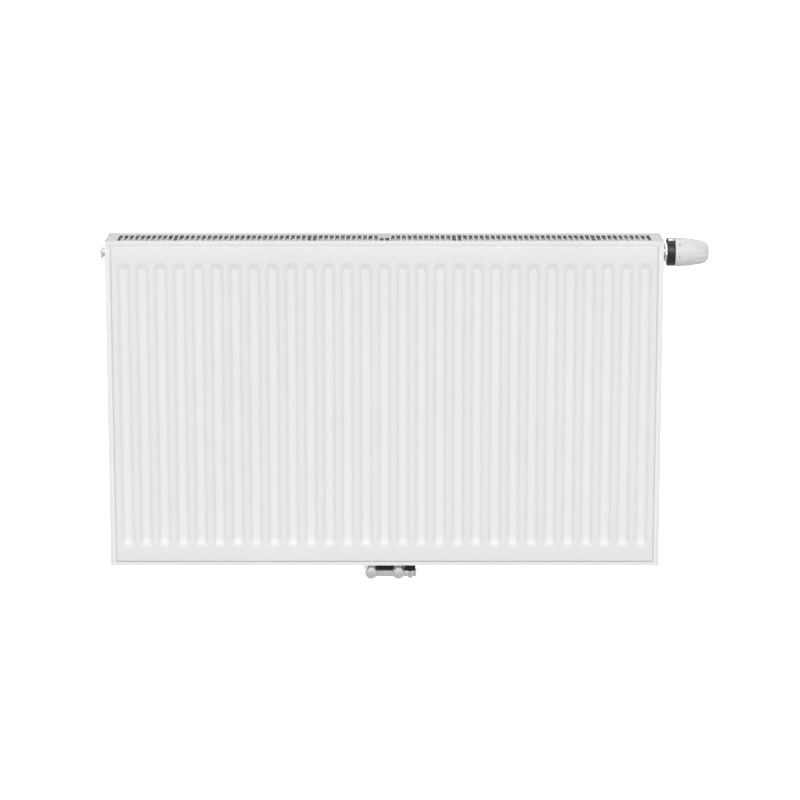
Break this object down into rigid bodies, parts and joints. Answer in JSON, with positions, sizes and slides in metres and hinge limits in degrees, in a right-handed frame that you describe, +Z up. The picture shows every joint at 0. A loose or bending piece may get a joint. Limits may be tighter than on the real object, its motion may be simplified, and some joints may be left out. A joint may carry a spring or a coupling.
{
  "type": "panel radiator with thermostatic valve",
  "caption": "Flat steel panel radiator with grooved front, slotted top grille, thermostat head at the top right and a two-pipe connection block underneath.",
  "frame": {"origin": "midway between the two pipe outlets, on their end plane at the back of the connection block", "axes": "+X to the thermostat head's side along the radiator, +Y to the wall, +Z up"},
  "size_m": [1.0974, 0.114, 0.6382],
  "materials": {
    "enamel_white": "white baked enamel, semi-gloss",
    "cover_enamel": "white powder coat, semi-gloss",
    "convector_coat": "white dip primer, satin",
    "badge_plastic": "white moulded plastic, blank",
    "wheel_plastic": "white moulded plastic, satin gloss",
    "black_plastic": "black moulded plastic",
    "nickel": "nickel plate on brass, satin",
    "brass": "turned brass",
    "stainless": "turned stainless steel",
    "spring_steel": "drawn spring wire and strip",
    "seal_rubber": "black rubber"
  },
  "bodies": {
    "radiator": {"front_outer_sheet": "enamel_white", "front_inner_sheet": "enamel_white", "rear_inner_sheet": "enamel_white", "rear_outer_sheet": "enamel_white", "front_convector": "convector_coat", "rear_convector": "convector_coat", "side_cover_left": "cover_enamel", "side_cover_right": "cover_enamel", "hanging_lugs": "enamel_white", "tee_top_left": "enamel_white", "tee_bottom_left": "enamel_white", "tee_bottom_right": "enamel_white", "blind_plugs": "nickel", "valve_body": "enamel_white", "valve_insert": "brass", "insert_gland": "brass", "pin_seal": "seal_rubber", "head_union_nut": "nickel", "head_base": "black_plastic", "vent_plug": "nickel", "vent_gasket": "seal_rubber", "return_manifold": "enamel_white", "flow_stub": "enamel_white", "flow_pipe": "enamel_white", "connector_body": "nickel", "union_nuts": "nickel", "union_seals": "seal_rubber", "shutoff_glands": "nickel", "shutoff_seals": "seal_rubber", "shutoff_caps": "nickel", "drain_screw": "nickel", "spacing_clip": "black_plastic"},
    "grille": {"top_grille": "cover_enamel", "grille_badge": "badge_plastic", "grille_clips": "spring_steel"},
    "handwheel": {"handwheel": "wheel_plastic", "wheel_cap": "wheel_plastic", "limiter_pins": "stainless"},
    "valve_stem": {"valve_pin": "stainless", "valve_cone": "seal_rubber", "valve_spring": "spring_steel", "push_rod": "wheel_plastic", "sensor_capsule": "brass", "overtravel_spring": "spring_steel", "adjusting_nut": "wheel_plastic"},
    "presetting_ring": {"presetting_ring": "wheel_plastic"},
    "vent_screw": {"vent_screw": "brass"},
    "vent_nozzle": {"vent_nozzle": "wheel_plastic"},
    "left_shutoff": {"left_shutoff_plug": "brass"},
    "right_shutoff": {"right_shutoff_plug": "brass"},
    "drain_valve": {"drain_knob": "black_plastic", "drain_spindle": "brass"}
  },
  "joints": [
    {"name": "grille_lift", "type": "slide", "parent": "radiator", "child": "grille", "axis": [0, 0, 1], "range_m": [0, 0.08]},
    {"name": "handwheel_turn", "type": "hinge", "parent": "radiator", "child": "handwheel", "pos_m": [0.53, -0.038, 0.5966], "axis": [1, 0, 0], "range_deg": [-145, 145]},
    {"name": "stem_travel", "type": "slide", "parent": "radiator", "child": "valve_stem", "axis": [1, 0, 0], "range_m": [-0.0011, 0.0011]},
    {"name": "presetting_turn", "type": "hinge", "parent": "radiator", "child": "presetting_ring", "pos_m": [0.513, -0.038, 0.5966], "axis": [1, 0, 0], "range_deg": [-150, 150]},
    {"name": "vent_screw_turn", "type": "hinge", "parent": "radiator", "child": "vent_screw", "pos_m": [-0.505, -0.038, 0.5966], "axis": [-1, 0, 0], "range_deg": [0, 270]},
    {"name": "vent_nozzle_swivel", "type": "hinge", "parent": "radiator", "child": "vent_nozzle", "pos_m": [-0.509, -0.038, 0.5966], "axis": [1, 0, 0], "continuous": true},
    {"name": "left_shutoff_turn", "type": "hinge", "parent": "radiator", "child": "left_shutoff", "pos_m": [-0.025, -0.038, 0], "axis": [0, 1, 0], "range_deg": [0, 90]},
    {"name": "right_shutoff_turn", "type": "hinge", "parent": "radiator", "child": "right_shutoff", "pos_m": [0.025, -0.038, 0], "axis": [0, 1, 0], "range_deg": [0, 90]},
    {"name": "drain_turn", "type": "hinge", "parent": "radiator", "child": "drain_valve", "pos_m": [0.0465, -0.038, 0], "axis": [0, 0, 1], "range_deg": [0, 270]}
  ],
  "couplings": [
    {"joint": "stem_travel", "follows": "handwheel_turn", "m_per_rad": 0.000434}
  ]
}
